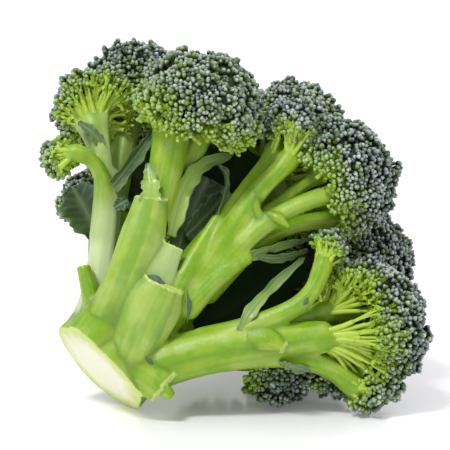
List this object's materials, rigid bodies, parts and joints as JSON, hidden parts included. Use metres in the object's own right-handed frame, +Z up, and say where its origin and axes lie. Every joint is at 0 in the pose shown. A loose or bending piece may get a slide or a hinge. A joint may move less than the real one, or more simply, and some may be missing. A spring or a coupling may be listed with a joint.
{
  "type": "broccoli head",
  "caption": "Cut broccoli head lying on its side: short stem, forked branches, domed bud florets, leaves and trimmed leaf stalks.",
  "frame": {"origin": "middle of the head's footprint, on the surface that it lies on", "axes": "+Z up; the cut end of the stem faces -X and a little towards -Y, and the crown faces +X, +Y and up"},
  "size_m": [0.1362, 0.1303, 0.1272],
  "materials": {
    "stalk": "pale yellow-green waxy skin with darker green streaks",
    "buds": "matt blue-green waxy buds",
    "leaf": "dark blue-green waxy leaf"
  },
  "bodies": {
    "root": {"stem": "stalk", "branch_front_left": "stalk", "branch_left": "stalk", "branch_centre": "stalk", "branch_lower": "stalk", "branch_core": "stalk", "branch_back_left": "stalk", "branch_back": "stalk", "branch_back_right": "stalk", "leaf_stalk_upper": "stalk", "leaf_stalk_middle": "stalk", "leaf_stalk_left": "stalk", "leaf_stalk_lower": "stalk", "leaf_stalk_knob": "stalk", "floret_front_left": "buds", "floret_front_right": "buds", "floret_centre_small": "buds", "floret_lower_right": "buds", "floret_left": "buds", "floret_left_small": "buds", "floret_lower_right_small": "buds", "floret_lower_right_low": "buds", "floret_top_left": "buds", "floret_top": "buds", "floret_right": "buds", "floret_left_back": "buds", "floret_under": "buds", "floret_under_right": "buds", "floret_back_left": "buds", "floret_back": "buds", "floret_back_right": "buds", "floret_crown_left": "buds", "floret_crown": "buds", "floret_crown_back": "buds", "leaf_left_broad": "leaf", "leaf_left_fork": "leaf", "leaf_inner_left": "leaf", "leaf_shoulder": "leaf", "leaf_front_wing": "leaf", "leaf_gap_curled": "leaf", "leaf_gap_broad": "leaf", "leaf_centre_low": "leaf", "leaf_lower_narrow": "leaf", "leaf_knob_leaf": "leaf", "leaf_back_broad": "leaf", "leaf_back_narrow": "leaf"}
  },
  "joints": []
}
